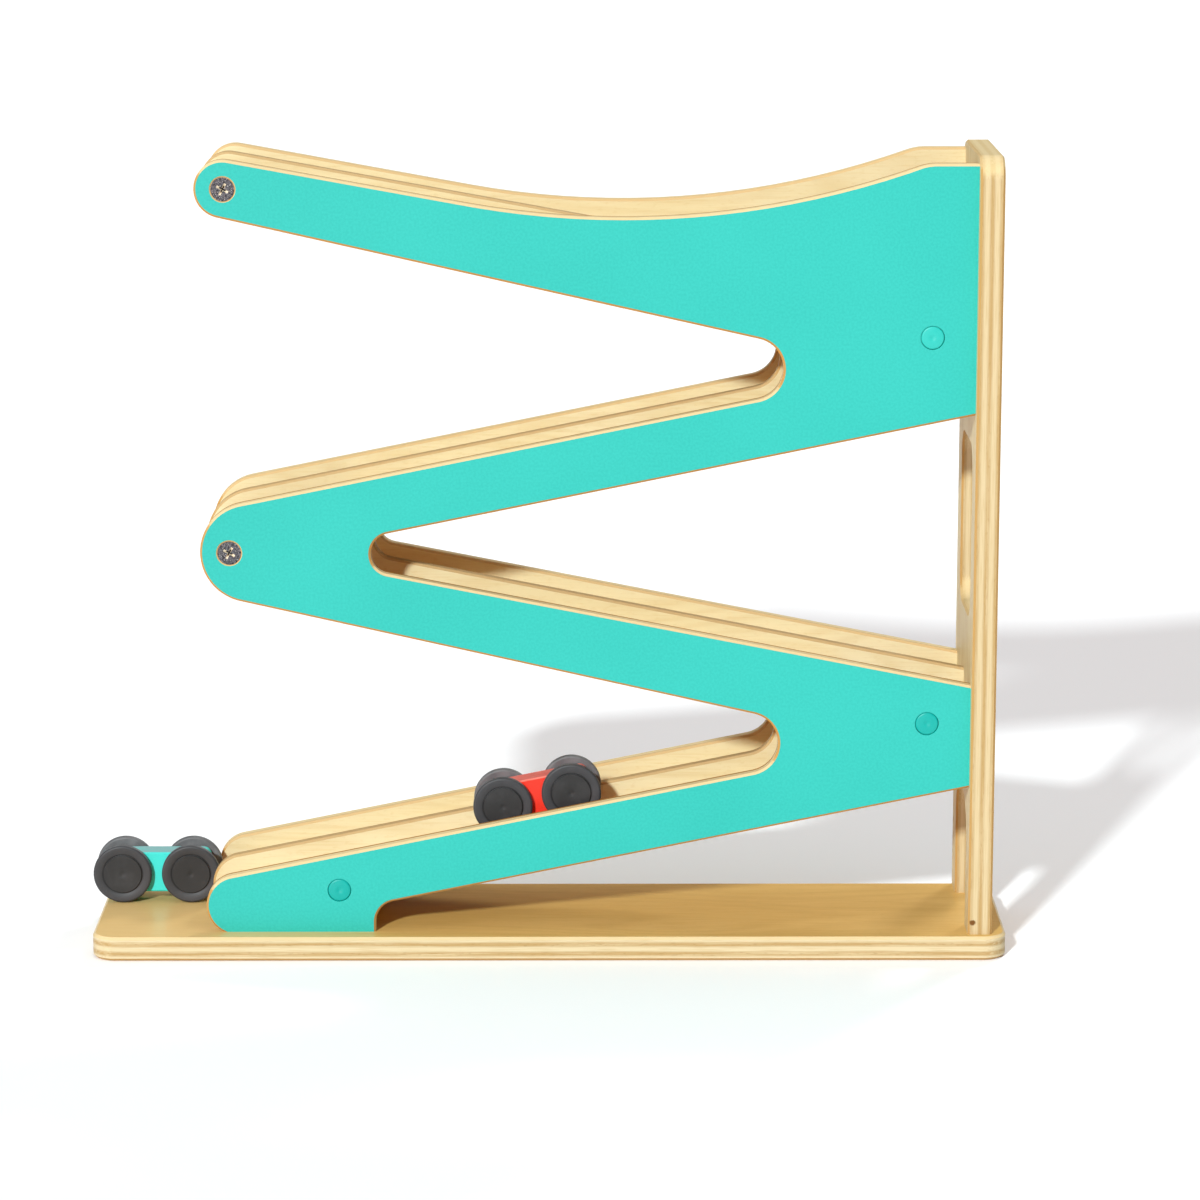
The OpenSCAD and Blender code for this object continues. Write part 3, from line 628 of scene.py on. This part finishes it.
# Boards
PAINTED_LIGHT_ALONG = (-60 * MM, -150 * MM)  # places along x where the base turns paler and is palest, as painted light
KNOT_AT = Vector((1.8, 0, 4.5)) * MM  # from the end board's lowest corner
KNOT_RADIUS = 1.0 * MM
dress("base_board", plywood("base_board", "x", "z", tan, figure=0.22, rough=0.24,
                            painted_light_along=PAINTED_LIGHT_ALONG))
end_foot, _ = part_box("end_board")
dress("end_board", plywood("end_board", "z", "x", birch, first=1, figure=0.35, dull=0.24,
                           knot=(end_foot + KNOT_AT, KNOT_RADIUS)))
# The bare ply on the panels' top edges takes painted shade, most on the front panel
for side, outward, edge_shade in (("front", -1, 1.0), ("rear", 1, 0.3)):
    panel = f"{side}_panel"
    dress(panel, plywood(panel, "x", "y", birch, figure=0.25, edge_shade=edge_shade,
                         screws=solids(f"{side}_panel_screws"), paint=teal,
                         painted_side=outward, plugs=solids(f"{side}_cross_dowels")))
# The divider's top edges are browned: painted shade over darker edge grain
dress("divider", plywood("divider", "x", "y", birch, figure=0.25, edge_shade=0.5))
for run in range(1, 5):
    for lane in ("front", "rear"):
        slat = f"run_{run}_{lane}_slat"
        dress(slat, plywood(slat, "x", "z", birch, plies=1))
dowel = solid_wood("dowel_wood", "y", birch)
for node in ("start_dowel", "turn_dowel"):
    dress(node, dowel)

# Cars, screws and plugs
UPPER_PLUG = 180 * MM  # a height between the highest plug and the others
zinc_plate = zinc("zinc_plate")
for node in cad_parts:
    if node.endswith("axle"):
        dress(node, zinc_plate)
    elif "wheel" in node:
        dress(node, wheel_plastic(node))
for node, into in (("front_panel_screws", "+y"), ("rear_panel_screws", "-y"),
                   ("end_board_screws", "-x"), ("base_screws", "+z")):
    dress(node, zinc(f"{node}_zinc", node, into))
for node in ("front_cross_dowels", "rear_cross_dowels"):
    # The highest plug has the panel's colour and the lower ones are darker, as painted shade
    dress(node, paint_on_wood(f"{node}_paint", SHADED_PLUG_TEAL, upper=(UPPER_PLUG, TEAL)))
dress("red_car_body", paint_on_wood("red_paint", RED, worn_and_sheen=RED_WORN_AND_SHEEN, edge=RED_EDGE_WEAR_AND_HIGHLIGHT))
dress("teal_car_body", paint_on_wood("teal_paint", CAR_TEAL, worn_and_sheen=TEAL_WORN_AND_SHEEN, edge=TEAL_EDGE_WEAR_AND_HIGHLIGHT))

# Floor
FLOOR_SIDE = 60
FLOOR_GAP = 0.1 * MM  # just clear of the base's underside
bpy.ops.mesh.primitive_plane_add(size=FLOOR_SIDE)
floor = bpy.context.object
floor.name = "floor"
floor.location.z = -FLOOR_GAP
paper = Shade("floor_paper")
paper.set(Base_Color=FLOOR_PAPER, Roughness=0.9, Specular_IOR_Level=0.1)
floor.data.materials.append(paper.material)

# Camera: the photograph's, fitted to the edges of the boards in a 1200-pixel frame
PHOTO_SIDE = 1200
FOCAL_PIXELS = 4359
CAMERA_AT = Vector((0.0137, -1.5956, 0.4585))
CAMERA_DOWN = math.radians(11.67)
CAMERA_TURN = math.radians(-0.19)
SENSOR = 36
camera = bpy.data.objects.new("camera", bpy.data.cameras.new("camera"))
bpy.context.scene.collection.objects.link(camera)
camera.location = CAMERA_AT
camera.rotation_euler = (math.pi / 2 - CAMERA_DOWN, 0, CAMERA_TURN)
camera.data.sensor_width = SENSOR
camera.data.lens = FOCAL_PIXELS / PHOTO_SIDE * SENSOR
bpy.context.scene.camera = camera


def far_light(name, toward, strength, softness, colour=WHITE, shadow=True):
    """An even light from the direction toward. softness is the angle that it spans."""
    light = bpy.data.lights.new(name, "SUN")
    light.energy = strength
    light.color = colour
    light.use_shadow = shadow
    light.angle = math.radians(softness)
    lamp = bpy.data.objects.new(name, light)
    bpy.context.scene.collection.objects.link(lamp)
    lamp.rotation_euler = (-Vector(toward)).to_track_quat("-Z", "Y").to_euler()


far_light("key", toward=(-0.38, -1, 0.52), strength=4, softness=4, colour=COOL_WHITE)
# Warm light that wood throws back into its own shade
far_light("warm", toward=(-0.5, -1, 0.06), strength=0.45, softness=4, colour=WARM, shadow=False)
far_light("back", toward=(0.55, 1, 0.8), strength=1.1, softness=12)

# A white studio that is brightest overhead and even white where the camera sees it
HORIZON = 0.05
OVERHEAD = 1.3
BRIGHTENS = 3  # the power of the height with which it does
BELOW = 0.85  # added below the horizon, for the undersides of the pieces and of the floor
world = bpy.data.worlds.new("studio")
world.use_nodes = True
bpy.context.scene.world = world
sky = Nodes(world.node_tree)
height = sky.parts(sky.node("ShaderNodeTexCoord").outputs["Generated"])[2]
above = sky.node("ShaderNodeMapRange", {
    0: sky.math("POWER", height, BRIGHTENS), 1: 0, 2: 1, 3: HORIZON, 4: OVERHEAD}).outputs[0]
around = sky.math("MULTIPLY_ADD", sky.math("LESS_THAN", height, 0), BELOW, above)
seen = sky.node("ShaderNodeLightPath").outputs["Is Camera Ray"]
background = sky.tree.nodes["Background"]
sky.put(background.inputs["Color"], WHITE)
sky.put(background.inputs["Strength"], sky.math("MAXIMUM", around, seen))
bpy.context.scene.view_settings.view_transform = "Standard"
